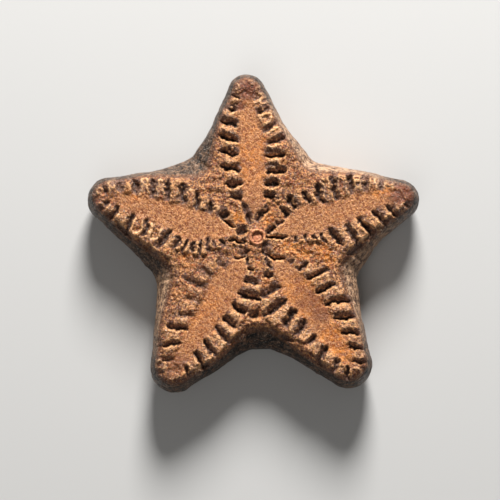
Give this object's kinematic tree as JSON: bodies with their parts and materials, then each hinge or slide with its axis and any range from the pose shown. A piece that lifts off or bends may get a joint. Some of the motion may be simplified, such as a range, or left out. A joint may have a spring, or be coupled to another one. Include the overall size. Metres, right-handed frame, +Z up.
{
  "type": "crinoid columnal fossil",
  "caption": "Star-shaped fossil stem plate of a sea lily, with smooth petals, ridged joint faces and a small middle canal.",
  "frame": {"origin": "middle of the stem canal, at the plane that the lower face rests on", "axes": "+Z up, through the plate's thickness; +Y towards the arm at the top of the upper face; +X to the right of it, seen from above"},
  "size_m": [0.006, 0.0058, 0.001],
  "materials": {
    "fossil_calcite": "orange-brown fossil calcite, fine-grained, with paler rubbed ridge crests, dark dirt in the grooves and a dull gloss"
  },
  "bodies": {
    "root": {"columnal": "fossil_calcite"}
  },
  "joints": []
}
